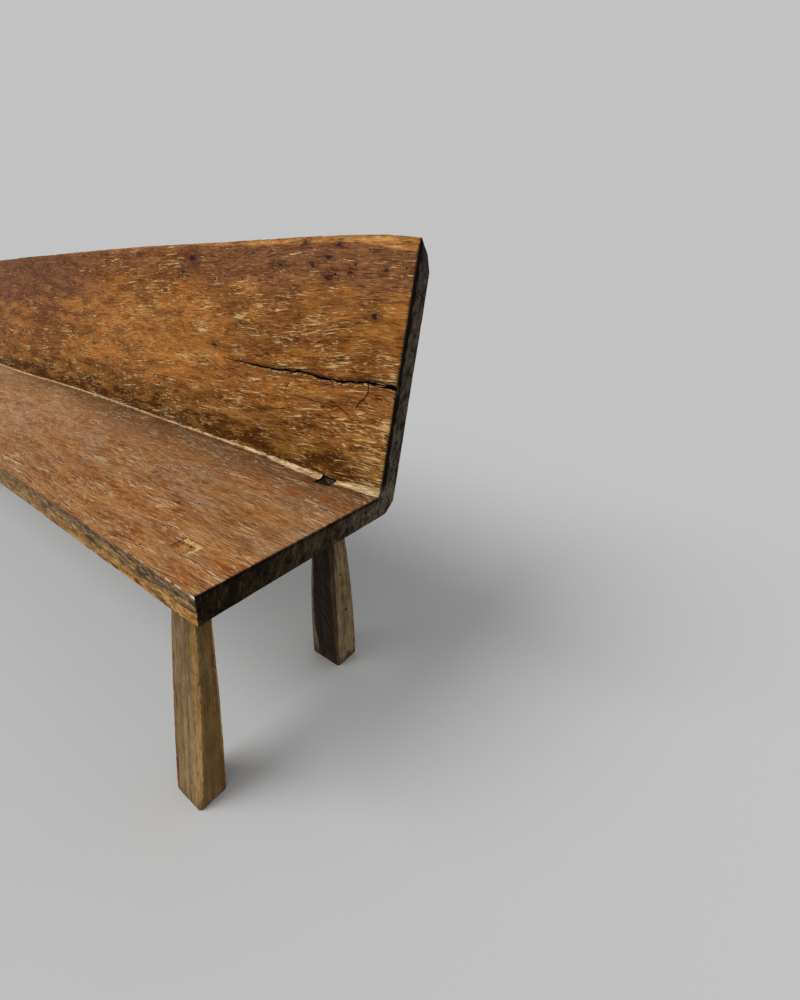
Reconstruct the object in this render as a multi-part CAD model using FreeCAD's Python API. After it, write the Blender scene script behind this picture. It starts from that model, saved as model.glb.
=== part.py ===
# Rustic monks bench: a seat and a raked back hewn in one L-shaped piece from a single trunk,
# on four square legs whose tenons come up through the seat and are locked by wedges.
# Millimetres. +X runs to the bench's right end, +Y to its back, +Z up. The floor is Z = 0,
# and the origin lies under the middle of the space that the bench takes up.
import FreeCAD
import Part
import math
import os

# Seat
length = 2100.0
seat_height = 430.0
seat_depth = 350.0
seat_thickness = 48.0
front_overhang = 2.5
end_bevel_rise_front = 4.2
end_bevel_rise_rear = 9.5
end_bevel_slope = 0.1

# Back, measured upwards from the seat and backwards across the bench
back_height = 400.0
back_rake_deg = 12.7
back_thickness_foot = 46.0
back_thickness_top = 40.0
cove_radius = 8.0
crest_bevel_height = 11.0
crest_bevel_depth = 6.0
crest_facet_height = 21.0
crest_facet_depth = 19.0
wane_height = 46.0
heel_chamfer_height = 27.0
heel_chamfer_depth = 33.0

# The hewn lines wander along the trunk. Each row is a place along the length, from 0 at the
# right end to 1 at the left, with the crest's drop and the change of the seat's depth there.
hewn_lines = (
    (0.00, 7.0, -6.0),
    (0.09, 0.0, -5.0),
    (0.20, 3.5, 2.0),
    (0.36, 8.5, 5.0),
    (0.52, 17.0, 9.0),
    (0.66, 28.0, 0.5),
    (0.80, 42.0, -8.0),
    (1.00, 55.0, -6.0),
)

# Front legs. Insets run from the bench's end and from the seat's front edge.
front_neck_inset_x = 105.0
front_neck_inset_y = 49.0
front_neck_width = 48.0
front_neck_depth = 34.0
front_belly_width = 72.0
front_belly_depth = 43.0
front_foot_inset_x = 90.0
front_foot_inset_y = -7.0
front_foot_width = 68.0
front_foot_depth = 50.0

# Back legs. Their places across the bench run forwards from the foot of the back.
rear_neck_inset_x = 119.0
rear_neck_from_back = 15.0
rear_neck_width = 43.0
rear_neck_depth = 34.0
rear_belly_width = 74.0
rear_belly_depth = 60.0
rear_foot_inset_x = 127.0
rear_foot_from_back = 1.0
rear_foot_width = 79.0
rear_foot_depth = 59.0

# Both pairs of legs
belly_height = 145.0
arris_neck = 7.0
arris_belly = 6.0
arris_foot = 4.0
sole_edge_height = 3.0
sole_edge_inset = 1.0

# Through tenons with their wedges, and the clearance round them in the mortise
tenon_shoulder = 3.5
tenon_clearance = 0.2
mortise_overrun = 12.0
front_tenon_sink = 1.0
rear_tenon_sink = 4.0
long_wedge_head = 8.0
side_wedge_head = 7.0
wedge_tip = 1.5
corner_wedge_head = 16.0
corner_wedge_tip = 13.0
corner_wedge_sink = 0.5

rake = math.radians(back_rake_deg)
underside_z = seat_height - seat_thickness


def face_y(depth, height):
    """Front face of the back, as a distance behind the seat's front edge."""
    return depth + height * math.tan(rake)


def rear_y(depth, height):
    """Rear face of the back, which thins from its foot to its top."""
    thinning = (back_thickness_foot - back_thickness_top) * height / back_height
    return face_y(depth, height) + back_thickness_foot - thinning


# The front feet reach furthest forward and the top of the back furthest to the rear
rear_reach = max(
    rear_y(seat_depth + change, back_height - drop - wane_height)
    for _, drop, change in hewn_lines
)
front_reach = front_foot_inset_y - front_foot_depth / 2
front_edge_y = -(front_reach + rear_reach) / 2


def point(x, behind_front, above_seat):
    return FreeCAD.Vector(x, front_edge_y + behind_front, seat_height + above_seat)


def cove(x, depth):
    """Arc that rounds the inner corner, tangent to the seat and to the raked face."""
    centre_y = depth - cove_radius * (1 - math.sin(rake)) / math.cos(rake)
    angles = (-math.pi / 2, -(math.pi / 2 + rake) / 2, -rake)
    return [
        point(x, centre_y + cove_radius * math.cos(a), cove_radius * (1 + math.sin(a)))
        for a in angles
    ]


def trunk_section(x, depth, height):
    """Outline of the seat and back across the bench, at one place along it."""
    corner = cove(x, depth)
    bevel_foot = height - crest_bevel_height
    wane_foot = height - wane_height
    crest_y = face_y(depth, bevel_foot) + crest_bevel_depth
    heel_z = heel_chamfer_height - seat_thickness
    heel_y = rear_y(depth, heel_z)
    face_top = point(x, face_y(depth, bevel_foot), bevel_foot)
    front_top = point(x, 0, 0)
    hewn_round = (
        face_top,
        point(x, crest_y, height),
        point(x, crest_y + crest_facet_depth, height - crest_facet_height),
        point(x, rear_y(depth, wane_foot), wane_foot),
        point(x, heel_y, heel_z),
        point(x, heel_y - heel_chamfer_depth, -seat_thickness),
        point(x, -front_overhang, -seat_thickness),
        front_top,
    )
    edges = [
        Part.LineSegment(start, end).toShape()
        for start, end in zip(hewn_round, hewn_round[1:])
    ]
    edges.append(Part.LineSegment(front_top, corner[0]).toShape())
    edges.append(Part.Arc(*corner).toShape())
    edges.append(Part.LineSegment(corner[2], face_top).toShape())
    return Part.Wire(edges)


def end_bevel(side):
    """Wedge-shaped cut that thins the seat's underside towards one end, most at the rear."""
    end_x = side * length / 2
    outlines = []
    for reach, rise in (
        (front_reach, end_bevel_rise_front),
        (rear_reach, end_bevel_rise_rear),
    ):
        y = front_edge_y + reach
        inner_x = end_x - side * rise / end_bevel_slope
        outlines.append(
            (
                FreeCAD.Vector(inner_x, y, underside_z),
                FreeCAD.Vector(end_x, y, underside_z + rise),
                FreeCAD.Vector(end_x, y, underside_z),
            )
        )
    return between(*outlines)


def hewn_trunk():
    sections = [
        trunk_section(length * (0.5 - place), seat_depth + change, back_height - drop)
        for place, drop, change in hewn_lines
    ]
    trunk = Part.makeLoft(sections, True, False)
    return trunk.cut([end_bevel(1), end_bevel(-1)])


def rectangle(centre, width, depth):
    """Corners of an upright rectangle seen from above, from front left round by the right."""
    offsets = ((-1, -1), (1, -1), (1, 1), (-1, 1))
    return [
        centre + FreeCAD.Vector(i * width / 2, j * depth / 2, 0) for i, j in offsets
    ]


def ring(corners):
    return Part.makePolygon(list(corners) + [corners[0]])


def between(lower, upper):
    """Solid with flat sides between two level outlines whose edges are parallel."""
    sides = zip(lower, lower[1:] + lower[:1], upper[1:] + upper[:1], upper)
    faces = [Part.Face(ring(corners)) for corners in (lower, upper, *sides)]
    solid = Part.Solid(Part.Shell(faces))
    if solid.Volume < 0:
        solid.reverse()
    return solid


def leg_section(centre, width, depth, arris):
    """Level outline of a leg: a rectangle with its four arrises pared off."""
    corners = rectangle(centre, width, depth)
    pared = []
    for i, corner in enumerate(corners):
        before = (corners[i - 1] - corner).normalize()
        after = (corners[(i + 1) % 4] - corner).normalize()
        pared.append(corner + before * arris)
        pared.append(corner + after * arris)
    return pared


class Leg:
    """One leg with its tenon, mortise and wedges, at a side of 1 (right) or -1 (left)."""

    def __init__(self, side, neck, foot, belly, sink):
        self.side = side
        self.neck_inset, self.neck_size = neck
        self.foot_inset, self.foot_size = foot
        self.belly_size = belly
        self.top_z = seat_height - sink

    def axis(self, height):
        """Middle of the leg at a height, on the line from its foot to its neck."""
        share = height / underside_z
        inset_x, inset_y = (
            foot + (neck - foot) * share
            for foot, neck in zip(self.foot_inset, self.neck_inset)
        )
        end_x = self.side * length / 2
        return FreeCAD.Vector(end_x - self.side * inset_x, front_edge_y + inset_y, height)

    def shaft(self):
        width, depth = self.foot_size
        sections = (
            leg_section(self.axis(sole_edge_height), width, depth, arris_foot),
            leg_section(self.axis(belly_height), *self.belly_size, arris_belly),
            leg_section(self.axis(underside_z), *self.neck_size, arris_neck),
        )
        body = Part.makeLoft([ring(s) for s in sections], True, False)
        narrow = 2 * sole_edge_inset
        sole = leg_section(self.axis(0), width - narrow, depth - narrow, arris_foot)
        return body.fuse(between(sole, sections[0]))

    def stub_size(self):
        """Tenon and wedges together."""
        return [size - 2 * tenon_shoulder for size in self.neck_size]

    def outline(self, height, extra=0.0):
        return rectangle(self.axis(height), *(s + 2 * extra for s in self.stub_size()))

    def stub(self):
        return between(self.outline(underside_z), self.outline(self.top_z))

    def mortise(self):
        """Hole for tenon and wedges, a little wider and open at both faces."""
        bottom = self.outline(underside_z - mortise_overrun, tenon_clearance)
        top = self.outline(seat_height + mortise_overrun, tenon_clearance)
        return between(bottom, top)

    def end_side(self, corners):
        """The same corners with those towards the bench's end second and third."""
        left_front, right_front, right_back, left_back = corners
        if self.side > 0:
            return left_front, right_front, right_back, left_back
        return right_front, left_front, left_back, right_back


class FrontLeg(Leg):
    def wedges(self):
        """A long wedge behind the tenon, and a side wedge between it and the bench's end."""
        levels = []
        for height, long_thick, side_thick in (
            (underside_z, wedge_tip, wedge_tip),
            (self.top_z, long_wedge_head, side_wedge_head),
        ):
            inner_front, outer_front, outer_back, inner_back = self.end_side(
                self.outline(height)
            )
            forward = FreeCAD.Vector(0, -long_thick, 0)
            inward = FreeCAD.Vector(-self.side * side_thick, 0, 0)
            levels.append(
                (
                    (inner_back + forward, outer_back + forward, outer_back, inner_back),
                    (
                        outer_front + inward,
                        outer_front,
                        outer_back + forward,
                        outer_back + forward + inward,
                    ),
                )
            )
        long_wedge, side_wedge = (
            between(lower, upper) for lower, upper in zip(*levels)
        )
        return {"long_wedge": long_wedge, "side_wedge": side_wedge}


class RearLeg(Leg):
    def wedges(self):
        """A three-cornered wedge where the tenon's rear corner is cut off obliquely."""
        levels = []
        for height, thick in (
            (underside_z, corner_wedge_tip),
            (seat_height - corner_wedge_sink, corner_wedge_head),
        ):
            width, _ = self.stub_size()
            _, _, outer_back, _ = self.end_side(self.outline(height))
            slant = width * thick / corner_wedge_head
            levels.append(
                (
                    outer_back + FreeCAD.Vector(0, -thick, 0),
                    outer_back,
                    outer_back + FreeCAD.Vector(-self.side * slant, 0, 0),
                )
            )
        return {"corner_wedge": between(*levels)}


def front_leg(side):
    return FrontLeg(
        side,
        ((front_neck_inset_x, front_neck_inset_y), (front_neck_width, front_neck_depth)),
        ((front_foot_inset_x, front_foot_inset_y), (front_foot_width, front_foot_depth)),
        (front_belly_width, front_belly_depth),
        front_tenon_sink,
    )


def rear_leg(side):
    neck_inset = (rear_neck_inset_x, seat_depth - rear_neck_from_back)
    foot_inset = (rear_foot_inset_x, seat_depth - rear_foot_from_back)
    return RearLeg(
        side,
        (neck_inset, (rear_neck_width, rear_neck_depth)),
        (foot_inset, (rear_foot_width, rear_foot_depth)),
        (rear_belly_width, rear_belly_depth),
        rear_tenon_sink,
    )


legs = {
    "front_right": front_leg(1),
    "front_left": front_leg(-1),
    "back_right": rear_leg(1),
    "back_left": rear_leg(-1),
}
pieces = {}
for place, leg in legs.items():
    wedges = leg.wedges()
    tenon = leg.stub().cut(list(wedges.values()))
    pieces[place + "_leg"] = leg.shaft().fuse(tenon).removeSplitter()
    for name, wedge in wedges.items():
        pieces[place + "_" + name] = wedge
mortises = [leg.mortise() for leg in legs.values()]
pieces["hewn_seat_and_back"] = hewn_trunk().cut(mortises)

os.makedirs("parts", exist_ok=True)
for name, shape in pieces.items():
    solid = shape.Solids[0]
    box = solid.BoundBox
    print(
        f"{name}: {len(shape.Solids)} solid, valid {solid.isValid()},"
        f" {solid.Volume / 1000:.0f} cm3, x {box.XMin:.0f} {box.XMax:.0f},"
        f" y {box.YMin:.0f} {box.YMax:.0f}, z {box.ZMin:.0f} {box.ZMax:.0f}"
    )
    solid.exportStep(os.path.join("parts", name + ".step"))
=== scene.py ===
import bmesh
import bpy
import numpy as np
from functools import partial, reduce
from math import cos, pi, radians, sin
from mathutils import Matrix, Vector, noise
from mathutils.bvhtree import BVHTree
from mathutils.kdtree import KDTree


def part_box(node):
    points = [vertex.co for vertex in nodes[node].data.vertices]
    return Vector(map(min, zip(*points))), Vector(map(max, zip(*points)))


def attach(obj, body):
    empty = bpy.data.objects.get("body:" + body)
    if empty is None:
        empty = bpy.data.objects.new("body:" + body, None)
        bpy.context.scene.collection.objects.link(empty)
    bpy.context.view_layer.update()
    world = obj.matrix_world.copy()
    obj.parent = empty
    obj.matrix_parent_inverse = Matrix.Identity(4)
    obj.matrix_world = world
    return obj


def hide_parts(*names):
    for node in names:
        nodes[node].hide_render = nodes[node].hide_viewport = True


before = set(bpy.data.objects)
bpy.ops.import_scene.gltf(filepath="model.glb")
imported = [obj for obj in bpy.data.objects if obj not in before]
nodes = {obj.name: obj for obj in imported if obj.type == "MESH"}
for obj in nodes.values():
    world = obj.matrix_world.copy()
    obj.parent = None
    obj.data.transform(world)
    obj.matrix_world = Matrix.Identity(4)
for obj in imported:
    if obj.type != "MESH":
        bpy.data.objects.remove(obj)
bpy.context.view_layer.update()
scene = bpy.context.scene
print("frame loaded:", len(nodes), "nodes")

mm = 0.001


# Camera, light and floor

view = {
    "fromCorner": (0.42049, -0.20180, 0.32991),   # metres from the seat's front right top corner
    "turn": (64.1189, -1.9725, 35.7059),   # degrees about X, Y and Z
    "lens": 16.063,
    "sensor": 36.0,
    "far": 200.0,
}

studio = {
    "skyLevel": 0.55,              # even white light from all round
    "backdrop": (194, 194, 194),   # what the camera sees behind the bench
    "lampTurn": (44.0, 0.0, -39.0),
    "lampStrength": 2.0,
    "lampSoftness": 40.0,
    "floorHalf": 60.0,
}


def tone(red, green, blue):
    # screen colour in 0 to 255 as the linear colour that a socket takes
    shares = [c / 255 for c in (red, green, blue)]
    return [s / 12.92 if s < 0.04 else ((s + 0.055) / 1.055) ** 2.4 for s in shares] + [1.0]


def addCamera():
    data = bpy.data.cameras.new("photoView")
    data.lens = view["lens"]
    data.sensor_width = view["sensor"]
    data.sensor_fit = "AUTO"
    data.clip_end = view["far"]
    camera = bpy.data.objects.new("photoView", data)
    camera.location = Vector((halfLength, frontEdge, seatTop)) + Vector(view["fromCorner"])
    camera.rotation_euler = [radians(a) for a in view["turn"]]
    scene.collection.objects.link(camera)
    scene.camera = camera


# Node trees: short helpers

class Value:
    # what a node tree works out at each point; sums and products of it are written as with numbers
    def __init__(self, socket):
        self.socket = socket

    def __add__(self, other):
        return calc("ADD", self, other)

    def __sub__(self, other):
        return calc("SUBTRACT", self, other)

    def __rsub__(self, other):
        return calc("SUBTRACT", other, self)

    def __mul__(self, other):
        return calc("MULTIPLY", self, other)

    def __abs__(self):
        return calc("ABSOLUTE", self)

    __radd__ = __add__
    __rmul__ = __mul__


def feed(tree, socket, value):
    if isinstance(value, Value):
        tree.links.new(value.socket, socket)
    elif socket.type == "RGBA":
        socket.default_value = tone(*value)
    else:
        socket.default_value = value


def addNode(tree, kind, inputs=None, **settings):
    item = tree.nodes.new(kind)
    for key, value in settings.items():
        setattr(item, key, value)
    for key, value in (inputs or {}).items():
        feed(tree, item.inputs[key], value)
    return item


def given(tree, kind, output=0, inputs=None, **settings):
    # what a node gives whose inputs, if it has any, are plain values
    return Value(addNode(tree, kind, inputs, **settings).outputs[output])


def worked(kind, inputs, output=0, **settings):
    # what a node makes of its inputs, in the tree that these belong to
    tree = next(value.socket.id_data for value in inputs.values() if isinstance(value, Value))
    return given(tree, kind, output, inputs, **settings)


def calc(operation, *values):
    return worked("ShaderNodeMath", dict(enumerate(values)), operation=operation)


def most(*values):
    return reduce(partial(calc, "MAXIMUM"), values)


def least(*values):
    return reduce(partial(calc, "MINIMUM"), values)


def mixed(share, a, b):
    return worked("ShaderNodeMix", {0: share, 6: a, 7: b}, 2, data_type="RGBA")


def ease(value, low, high):
    # 0 below low, 1 above high, smooth between them; low may be the larger
    return worked("ShaderNodeMapRange", {0: value, 1: low, 2: high}, interpolation_type="SMOOTHSTEP")


def between(value, low, high, soft):
    # 1 where value lies from low to high, 0 outside, with soft limits
    return ease(value, low - soft, low + soft) * ease(value, high + soft, high - soft)


def swing(value, reach):
    # a value from 0 to 1 as one from -reach to reach
    return value * (2 * reach) - reach


def axes(vector):
    # the three parts of a vector
    tree = vector.socket.id_data
    return [Value(part) for part in addNode(tree, "ShaderNodeSeparateXYZ", {0: vector}).outputs]


def joined(x, y, z=0.0):
    return worked("ShaderNodeCombineXYZ", {0: x, 1: y, 2: z})


def vectorMath(operation, first, second, output=0):
    return worked("ShaderNodeVectorMath", {0: first, 1: second}, output, operation=operation)


def cloud(vector, scale, detail=2.0, rough=0.5, distort=0.0, offset=(0.0, 0.0, 0.0)):
    # soft noise from 0 to 1 with so many waves a metre along each axis
    place = worked("ShaderNodeVectorMath", {0: vector, 1: scale, 2: offset}, operation="MULTIPLY_ADD")
    return worked("ShaderNodeTexNoise", {"Vector": place, "Scale": 1.0, "Detail": detail,
                                         "Roughness": rough, "Distortion": distort})


def newMaterial(name):
    material = bpy.data.materials.new(name)
    material.use_nodes = True
    tree = material.node_tree
    tree.nodes.clear()
    shader = addNode(tree, "ShaderNodeBsdfPrincipled")
    addNode(tree, "ShaderNodeOutputMaterial", {0: Value(shader.outputs[0])})
    return material, tree, shader


def finishSurface(shader, colour, roughness, height, reach, shine):
    # reach is the height in metres of a bump of 1
    bump = worked("ShaderNodeBump", {"Height": height, "Distance": reach, "Strength": 1.0})
    for name, value in (("Specular IOR Level", shine), ("Base Color", colour), ("Roughness", roughness),
                        ("Normal", bump)):
        feed(shader.id_data, shader.inputs[name], value)


def addStudio():
    world = bpy.data.worlds.new("studio")
    scene.world = world
    world.use_nodes = True
    tree = world.node_tree
    tree.nodes.clear()
    rays = addNode(tree, "ShaderNodeLightPath").outputs
    seen = most(*[Value(rays[kind]) for kind in ("Is Camera Ray", "Is Glossy Ray", "Is Transmission Ray")])
    light = given(tree, "ShaderNodeBackground", 0, {"Color": (255, 255, 255), "Strength": studio["skyLevel"]})
    back = given(tree, "ShaderNodeBackground", 0, {"Color": studio["backdrop"], "Strength": 1.0})
    both = worked("ShaderNodeMixShader", {0: seen, 1: light, 2: back})
    addNode(tree, "ShaderNodeOutputWorld", {0: both})

    data = bpy.data.lights.new("softKey", "SUN")
    data.energy = studio["lampStrength"]
    data.angle = radians(studio["lampSoftness"])
    lamp = bpy.data.objects.new("softKey", data)
    lamp.rotation_euler = [radians(a) for a in studio["lampTurn"]]
    scene.collection.objects.link(lamp)

    half = studio["floorHalf"]
    mesh = bpy.data.meshes.new("studioFloor")
    corners = [(-half, -half, 0), (half, -half, 0), (half, half, 0), (-half, half, 0)]
    mesh.from_pydata(corners, [], [(0, 1, 2, 3)])
    floor = bpy.data.objects.new("studioFloor", mesh)
    scene.collection.objects.link(floor)
    material, tree, shader = newMaterial("paleFloor")
    for name, value in (("Base Color", studio["backdrop"]), ("Roughness", 1.0), ("Specular IOR Level", 0.0)):
        feed(tree, shader.inputs[name], value)
    mesh.materials.append(material)


# Measures taken from the frame

trunkLow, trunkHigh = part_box("hewn_seat_and_back")
halfLength = trunkHigh.x
frontOverhang = 2.5 * mm               # the seat's front edge leans out this far at its foot
frontEdge = trunkLow.y + frontOverhang
underside = trunkLow.z
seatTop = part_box("front_right_leg")[1].z + 1 * mm

addCamera()
scene.view_settings.view_transform = "Standard"
addStudio()
print("camera, lamp and floor placed")


def treeOf(*names):
    points, faces = [], []
    for name in names:
        mesh = nodes[name].data
        first = len(points)
        points += [v.co.copy() for v in mesh.vertices]
        faces += [[first + i for i in p.vertices] for p in mesh.polygons]
    return BVHTree.FromPolygons(points, faces)


# The hewn trunk: seat and back in one piece

trunk = {
    "straightFrom": -0.56,              # left of this place the hewn lines run straight
    "coveRadius": 8 * mm,
    "bevelHeight": 11 * mm, "bevelDepth": 6 * mm,
    "facetHeight": 21 * mm, "facetDepth": 19 * mm,
    "waneHeight": 46 * mm,
    "heelHeight": 27 * mm, "heelDepth": 33 * mm,
    "backHeight": 400 * mm, "footThick": 46 * mm, "topThick": 40 * mm,
    "endRise": (4.53 * mm, 8.12 * mm), "endSlope": 0.1,   # at the front edge and at the foot of the back
    # rows of the mesh across the trunk, and their steps along it
    "seatRows": 56, "coveRows": 8, "lowRows": 22, "highRows": 36, "edgeRows": 11, "bevelRows": 4,
    "fineStep": 5 * mm, "fineTo": 0.52, "midStep": 8 * mm, "midTo": 0.0, "coarseStep": 12 * mm,
    # depth of the tool marks, and how far use has worn the arrises
    "scoop": 0.9 * mm, "roughScoop": 2.2 * mm, "furrow": 0.28 * mm, "tooth": 0.5 * mm,
    "arrisWear": 1.5 * mm, "chip": 4 * mm, "crestWear": 0.45,
    "seed": 4,
}
faceKind, edgeKind, roughKind, endKind, wormKind, mortiseKind = range(6)   # the trunk's surfaces

crack = {
    "reach": 0.478,          # how far it runs in from the right end
    # metres from the right end, height above the seat
    "path": ((0.47, 0.172), (0.39, 0.171), (0.30, 0.170), (0.26, 0.174), (0.22, 0.175), (0.18, 0.173),
             (0.13, 0.172), (0.10, 0.175), (0.06, 0.179), (0.03, 0.179), (0.0, 0.177)),
    "jag": 1.8 * mm,
    "depth": 6 * mm,
    "halfWidth": 0.8 * mm, "lip": 0.7 * mm,
    # rows of the mesh near it, in millimetres from its middle
    "rows": (-10, -6, -3.6, -2, -0.9, 0, 0.9, 2, 3.6, 6, 10),
    # thin lines under it: metres from the right end, metres from the split
    "hairline": ((0.253, -0.020), (0.262, -0.033), (0.263, -0.042), (0.229, -0.045), (0.118, -0.042),
                 (0.088, -0.060)),
    "branch": ((0.057, -0.004), (0.056, -0.017), (0.062, -0.027), (0.073, -0.035), (0.078, -0.044)),
}


def crackHeight(x):
    ins, heights = zip(*crack["path"][::-1])
    jag = noise.noise(Vector((x * 70, 7.7, 0))) + 0.5 * noise.noise(Vector((x * 190, 2.7, 0)))
    return float(np.interp(halfLength - x, ins, heights)) + crack["jag"] * jag


def crackDepth(x):
    along = 1 - (halfLength - x) / crack["reach"]
    if along <= 0:
        return 0.0
    uneven = 0.7 + 0.8 * noise.noise(Vector((x * 34, 1.2, 0)))
    return crack["depth"] * min(1.0, 0.2 + 1.5 * along) * max(0.25, uneven)


def measureLines(tree, x):
    # depth of the seat, slope of the back and height of the crest at one place along the trunk;
    # towards the left end they run straight
    inside = max(-halfLength + mm, min(halfLength - mm, x))
    straight = trunk["straightFrom"]
    if -halfLength + mm < inside < straight:
        share = (straight - inside) / (straight + halfLength)
        ends = zip(measureLines(tree, straight), measureLines(tree, -halfLength))
        return tuple(a + (b - a) * share for a, b in ends)
    levels = (60 * mm, 300 * mm)
    starts = [Vector((inside, frontEdge - 0.1, seatTop + z)) for z in levels]
    faceAt = [tree.ray_cast(start, Vector((0, 1, 0)))[0].y for start in starts]
    slope = (faceAt[1] - faceAt[0]) / (levels[1] - levels[0])
    depth = faceAt[0] - slope * levels[0] - frontEdge
    height = trunk["backHeight"]
    for _ in range(4):
        crestY = frontEdge + depth + slope * (height - trunk["bevelHeight"]) + trunk["bevelDepth"]
        top = tree.ray_cast(Vector((inside, crestY, seatTop + 0.6)), Vector((0, 0, -1)))[0]
        height = top.z - seatTop
    return depth, slope, height


def spread(count, ends=0.55):
    # shares from 0 to 1, closer together towards both ends
    t = np.linspace(0, 1, count + 1)
    return (1 - ends) * t + ends * (0.5 - 0.5 * np.cos(pi * t))


def alongTrunk():
    right = [halfLength - step * mm for step in (0, 1, 2.5, 4.5, 7, 10)]
    places, x = list(right), right[-1]
    while x > -halfLength + 16 * mm:
        x -= trunk["fineStep"] if x > trunk["fineTo"] else (
            trunk["midStep"] if x > trunk["midTo"] else trunk["coarseStep"])
        places.append(x)
    places = [p for p in places if p > -halfLength + 12 * mm]
    return np.array(places + [-halfLength + step * mm for step in (8, 4.5, 2, 0)])


def trunkSection(x, depth, slope, height):
    # rows across the trunk at x as (y behind the front edge, z above the seat), with the distance over
    # the surface, the distance from the joint line, from the crest bevel and from the crack
    t = trunk
    thick = seatTop - underside
    rake = np.arctan(slope)
    radius = t["coveRadius"]
    centreY = depth - radius * (1 - sin(rake)) / cos(rake)
    bevelFoot = height - t["bevelHeight"]
    waneFoot = height - t["waneHeight"]

    def face(z):
        return depth + slope * z

    def rear(z):
        return face(z) + t["footThick"] - (t["footThick"] - t["topThick"]) * z / t["backHeight"]

    def lowest(y):
        front, back = t["endRise"]
        rise = front + (back - front) * y / endDepth - t["endSlope"] * (halfLength - abs(x))
        return -thick + max(0.0, rise)

    seat = [(y, 0.0) for y in spread(t["seatRows"]) * centreY]
    angles = np.linspace(-pi / 2, -rake, t["coveRows"] + 1)[1:]
    cove = [(centreY + radius * cos(a), radius * (1 + sin(a))) for a in angles]
    split = crackHeight(x)
    rowsNear = [split + r * mm for r in crack["rows"]]
    low = cove[-1][1] + spread(t["lowRows"], 0.3) * (rowsNear[0] - cove[-1][1])
    high = rowsNear[-1] + spread(t["highRows"], 0.45) * (bevelFoot - rowsNear[-1])
    heights = list(low[1:]) + rowsNear[1:-1] + list(high)
    inner = seat + cove + [(face(z), z) for z in heights]

    count = t["edgeRows"]
    share = spread(count, 0.6)
    crestY = face(bevelFoot) + t["bevelDepth"]
    corners = [(face(bevelFoot), bevelFoot), (crestY, height),
               (crestY + t["facetDepth"], height - t["facetHeight"]), (rear(waneFoot), waneFoot)]
    crest = []
    rows = t["bevelRows"]
    for start, end, parts in zip(corners, corners[1:], (rows, rows, count - 2 * rows)):
        for k in range(1, parts + 1):
            crest.append(tuple(a + (b - a) * k / parts for a, b in zip(start, end)))

    heelZ = t["heelHeight"] - thick
    heel = (rear(heelZ), heelZ)
    footY = heel[0] - t["heelDepth"]
    first = -frontOverhang
    under = [(first + s * (footY - first), -thick) for s in spread(t["seatRows"])]
    chamfer = [(footY + (heel[0] - footY) * k / t["coveRows"], -thick + (heelZ + thick) * k / t["coveRows"])
               for k in range(1, t["coveRows"] + 1)]
    rearCount = len(heights)
    rearRows = []
    for k in range(1, rearCount + 1):
        z = heelZ + (waneFoot - heelZ) * k / rearCount
        rearRows.append((rear(z), z))
    outer = under + chamfer + rearRows
    outer = [(y, max(z, lowest(y))) for y, z in outer]
    front = [(first * s, lowest(first) * s) for s in share]

    ring = front[::-1] + inner[1:] + crest + outer[-2:0:-1]
    closed = np.array(ring + [ring[0]])
    steps = np.hypot(*np.diff(closed, axis=0).T)
    surface = np.concatenate([[0], np.cumsum(steps)])
    surface -= surface[count]
    jointRow = count + len(seat) - 1 + t["coveRows"] // 2
    bevelRow = count + len(inner) - 1
    crackRow = count + len(seat) - 1 + t["coveRows"] + t["lowRows"] + crack["rows"].index(0)
    return (np.array(ring), surface, surface - surface[jointRow], surface[bevelRow] - surface,
            surface - surface[crackRow], inner, outer, share)


trunkTree = treeOf("hewn_seat_and_back")
endDepth, endSlope, _ = measureLines(trunkTree, halfLength)


def buildTrunk():
    places = alongTrunk()
    points, layers = [], []
    for x in places:
        ring, surface, joint, crest, split, inner, outer, share = trunkSection(x, *measureLines(trunkTree, x))
        points.append([(x, frontEdge + y, seatTop + z) for y, z in ring])
        layers.append((surface, joint, crest, split))
    count = len(ring)
    k = trunk["edgeRows"]
    n = len(inner) - 1
    verts = [p for row in points for p in row]
    faces, kinds, maps = [], [], []

    def kindOf(r):
        if r < k:
            return edgeKind
        return faceKind if r < k + n + trunk["bevelRows"] else roughKind

    for m in range(len(places) - 1):
        for r in range(count):
            s = (r + 1) % count
            faces.append((m * count + r, m * count + s, (m + 1) * count + s, (m + 1) * count + r))
            kinds.append(kindOf(r))
            maps.append([(m, r), (m, r + 1), (m + 1, r + 1), (m + 1, r)])
    for m in (0, len(places) - 1):
        grid = {}
        for j in range(k + 1):
            grid[0, j] = m * count + k - j
            grid[n, j] = m * count + k + n + j
        for i in range(n + 1):
            grid[i, 0] = m * count + k + i
            grid[i, k] = m * count + (2 * k + 2 * n - i) % count
        for i in range(1, n):
            a, b = np.array(verts[grid[i, 0]]), np.array(verts[grid[i, k]])
            for j in range(1, k):
                grid[i, j] = len(verts)
                verts.append(tuple(a + (b - a) * share[j]))
        for i in range(n):
            for j in range(k):
                quad = (grid[i, j], grid[i + 1, j], grid[i + 1, j + 1], grid[i, j + 1])
                faces.append(quad if m == 0 else quad[::-1])
                kinds.append(endKind)
                maps.append(None)
    mesh = bpy.data.meshes.new("hewnTrunk")
    mesh.from_pydata(verts, [], faces)
    mesh.polygons.foreach_set("material_index", kinds)
    grain = mesh.uv_layers.new(name="grain").data
    zones = mesh.uv_layers.new(name="zones").data
    splits = mesh.uv_layers.new(name="splits").data
    for polygon, corners in zip(mesh.polygons, maps):
        for step, loop in enumerate(polygon.loop_indices):
            if corners is None:
                co = mesh.vertices[mesh.loops[loop].vertex_index].co
                grain[loop].uv = (co.y, co.z)
                zones[loop].uv = (1, 1)
                splits[loop].uv = (co.x, 1)
            else:
                m, r = corners[step]
                surface, joint, crest, split = layers[m]
                grain[loop].uv = (places[m], surface[r])
                zones[loop].uv = (joint[r], crest[r])
                splits[loop].uv = (places[m], split[r])
    return mesh


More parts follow.
